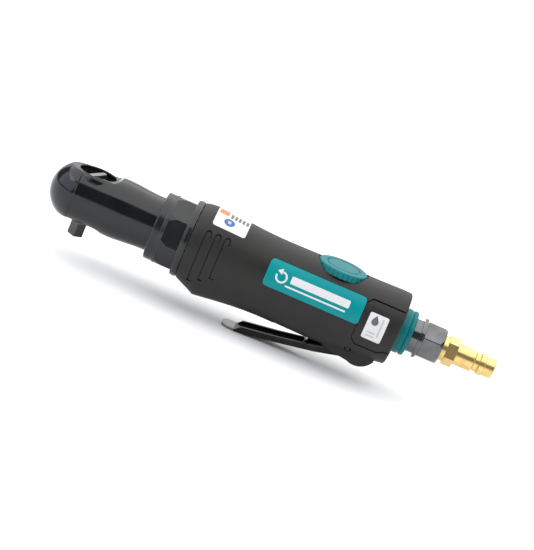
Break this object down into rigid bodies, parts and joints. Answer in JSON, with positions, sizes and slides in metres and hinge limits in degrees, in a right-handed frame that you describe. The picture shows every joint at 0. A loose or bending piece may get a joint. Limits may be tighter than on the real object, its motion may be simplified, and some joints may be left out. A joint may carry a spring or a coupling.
{
  "type": "air ratchet",
  "caption": "Pneumatic ratchet wrench with square drive, reversing selector, squeeze throttle, power dial and air plug.",
  "frame": {"origin": "centre of the drive square's seat, where the square meets the anvil's shoulder", "axes": "+X along the tool towards the air plug, +Z away from the drive square, towards the selector"},
  "size_m": [0.2542, 0.0428, 0.0576],
  "materials": {
    "gloss_black_steel": "high-gloss black coated steel",
    "black_nut": "satin black coated steel",
    "tool_steel": "dark hardened steel",
    "bright_steel": "ground steel",
    "cast_metal": "machined",
    "black_composite": "moulded composite",
    "grip_rubber": "matte soft-touch rubber",
    "teal_plastic": "satin teal moulding",
    "teal_badge": "printed plate",
    "black_sheet": "black oxide sheet steel",
    "gunmetal": "dark nickel steel",
    "brass": "turned brass",
    "seal_rubber": "nitrile",
    "felt": "felt",
    "vane_composite": "phenolic fibre",
    "label_white": "printed film",
    "label_grey": "printed film",
    "label_orange": "printed film",
    "label_blue": "printed film"
  },
  "bodies": {
    "tool_body": {"ratchet_head": "gloss_black_steel", "anvil_retaining_ring": "bright_steel", "anvil_washer": "bright_steel", "needle_bearing_shell": "bright_steel", "crank_thrust_washer": "bright_steel", "ring_gear": "tool_steel", "clamp_nut": "black_nut", "motor_sleeve": "cast_metal", "front_plate": "cast_metal", "front_bearing_outer_race": "bright_steel", "rear_plate": "cast_metal", "rear_bearing_outer_race": "bright_steel", "cylinder": "cast_metal", "cylinder_pin": "tool_steel", "motor_gasket": "seal_rubber", "housing": "black_composite", "grip_sleeve": "grip_rubber", "side_badges": "teal_badge", "lever_pin": "tool_steel", "valve_bushing": "brass", "valve_seal": "seal_rubber", "valve_spring": "bright_steel", "inlet_bushing": "gunmetal", "inlet_ring": "gunmetal", "inlet_screen": "bright_steel", "air_plug": "brass", "muffler_felt": "felt"},
    "drive_anvil": {"anvil": "tool_steel", "pawl_pin": "tool_steel"},
    "square_ball": {"detent_ball": "bright_steel"},
    "drive_pawl": {"pawl": "tool_steel"},
    "reverse_selector": {"reverse_lever": "bright_steel"},
    "drive_yoke": {"yoke": "tool_steel"},
    "crank": {"crankshaft": "tool_steel", "planet_pins": "tool_steel"},
    "crank_bushing": {"drive_bushing": "tool_steel"},
    "crank_rollers": {"needle_rollers": "bright_steel"},
    "planet_1": {"planet_gear_1": "tool_steel"},
    "planet_2": {"planet_gear_2": "tool_steel"},
    "planet_3": {"planet_gear_3": "tool_steel"},
    "motor_rotor": {"rotor": "tool_steel", "vanes": "vane_composite", "front_bearing_inner_race": "bright_steel", "rear_bearing_inner_race": "bright_steel"},
    "front_balls": {"front_bearing_balls": "bright_steel"},
    "rear_balls": {"rear_bearing_balls": "bright_steel"},
    "lever": {"throttle_lever": "black_sheet"},
    "valve": {"valve_stem": "bright_steel"},
    "regulator": {"regulator_dial": "teal_plastic", "regulator_spool": "brass", "regulator_seal": "seal_rubber"},
    "deflector": {"exhaust_deflector": "teal_plastic"}
  },
  "joints": [
    {"name": "crank_spin", "type": "hinge", "parent": "tool_body", "child": "crank", "pos_m": [0.03, 0, 0.0154], "axis": [1, 0, 0], "continuous": true},
    {"name": "bushing_spin", "type": "hinge", "parent": "crank", "child": "crank_bushing", "pos_m": [0.0146, 0, 0.0169], "axis": [1, 0, 0], "continuous": true},
    {"name": "roller_spin", "type": "hinge", "parent": "tool_body", "child": "crank_rollers", "pos_m": [0.024, 0, 0.0154], "axis": [1, 0, 0], "continuous": true},
    {"name": "rotor_spin", "type": "hinge", "parent": "tool_body", "child": "motor_rotor", "pos_m": [0.078, 0, 0.0154], "axis": [1, 0, 0], "continuous": true},
    {"name": "front_balls_spin", "type": "hinge", "parent": "tool_body", "child": "front_balls", "pos_m": [0.0555, 0, 0.0154], "axis": [1, 0, 0], "continuous": true},
    {"name": "rear_balls_spin", "type": "hinge", "parent": "tool_body", "child": "rear_balls", "pos_m": [0.1015, 0, 0.0154], "axis": [1, 0, 0], "continuous": true},
    {"name": "planet_1_spin", "type": "hinge", "parent": "crank", "child": "planet_1", "pos_m": [0.0473, 0, 0.0238], "axis": [1, 0, 0], "continuous": true},
    {"name": "planet_2_spin", "type": "hinge", "parent": "crank", "child": "planet_2", "pos_m": [0.0473, -0.00728, 0.0112], "axis": [1, 0, 0], "continuous": true},
    {"name": "planet_3_spin", "type": "hinge", "parent": "crank", "child": "planet_3", "pos_m": [0.0473, 0.00728, 0.0112], "axis": [1, 0, 0], "continuous": true},
    {"name": "yoke_swing", "type": "hinge", "parent": "tool_body", "child": "drive_yoke", "pos_m": [0, 0, 0.0154], "axis": [0, 0, 1], "range_deg": [-5.5, 5.5]},
    {"name": "anvil_spin", "type": "hinge", "parent": "tool_body", "child": "drive_anvil", "pos_m": [0, 0, 0.0154], "axis": [0, 0, 1], "continuous": true},
    {"name": "selector_turn", "type": "hinge", "parent": "drive_anvil", "child": "reverse_selector", "pos_m": [0, 0, 0.0244], "axis": [0, 0, 1], "range_deg": [-55, 0]},
    {"name": "pawl_rock", "type": "hinge", "parent": "drive_anvil", "child": "drive_pawl", "pos_m": [-0.0043, 0, 0.0154], "axis": [0, 0, 1], "range_deg": [-5, 0]},
    {"name": "ball_press", "type": "slide", "parent": "drive_anvil", "child": "square_ball", "axis": [0.7071, 0.7071, 0], "range_m": [-0.0006, 0], "stiffness_N_per_m": 200},
    {"name": "lever_squeeze", "type": "hinge", "parent": "tool_body", "child": "lever", "pos_m": [0.1571, 0, -0.0024], "axis": [0, 1, 0], "range_deg": [0, 7.5], "stiffness_Nm_per_rad": 0.25, "springref_deg": -2.86},
    {"name": "valve_lift", "type": "slide", "parent": "tool_body", "child": "valve", "axis": [0, 0, 1], "range_m": [0, 0.0029], "deforming": ["valve_spring"]},
    {"name": "regulator_turn", "type": "hinge", "parent": "tool_body", "child": "regulator", "pos_m": [0.1382, 0, 0.0324], "axis": [0, 0, 1], "range_deg": [0, 90]},
    {"name": "deflector_turn", "type": "hinge", "parent": "tool_body", "child": "deflector", "pos_m": [0.1815, 0, 0.0154], "axis": [1, 0, 0], "continuous": true}
  ],
  "couplings": [
    {"joint": "crank_spin", "follows": "rotor_spin", "ratio": 0.1875},
    {"joint": "bushing_spin", "follows": "rotor_spin", "ratio": -0.1875},
    {"joint": "roller_spin", "follows": "rotor_spin", "ratio": 0.076103},
    {"joint": "front_balls_spin", "follows": "rotor_spin", "ratio": 0.4163},
    {"joint": "rear_balls_spin", "follows": "rotor_spin", "ratio": 0.40642},
    {"joint": "planet_1_spin", "follows": "rotor_spin", "ratio": -0.4875},
    {"joint": "planet_2_spin", "follows": "rotor_spin", "ratio": -0.4875},
    {"joint": "planet_3_spin", "follows": "rotor_spin", "ratio": -0.4875},
    {"joint": "pawl_rock", "follows": "selector_turn", "ratio": 0.09},
    {"joint": "valve_lift", "follows": "lever_squeeze", "m_per_rad": 0.0213}
  ]
}
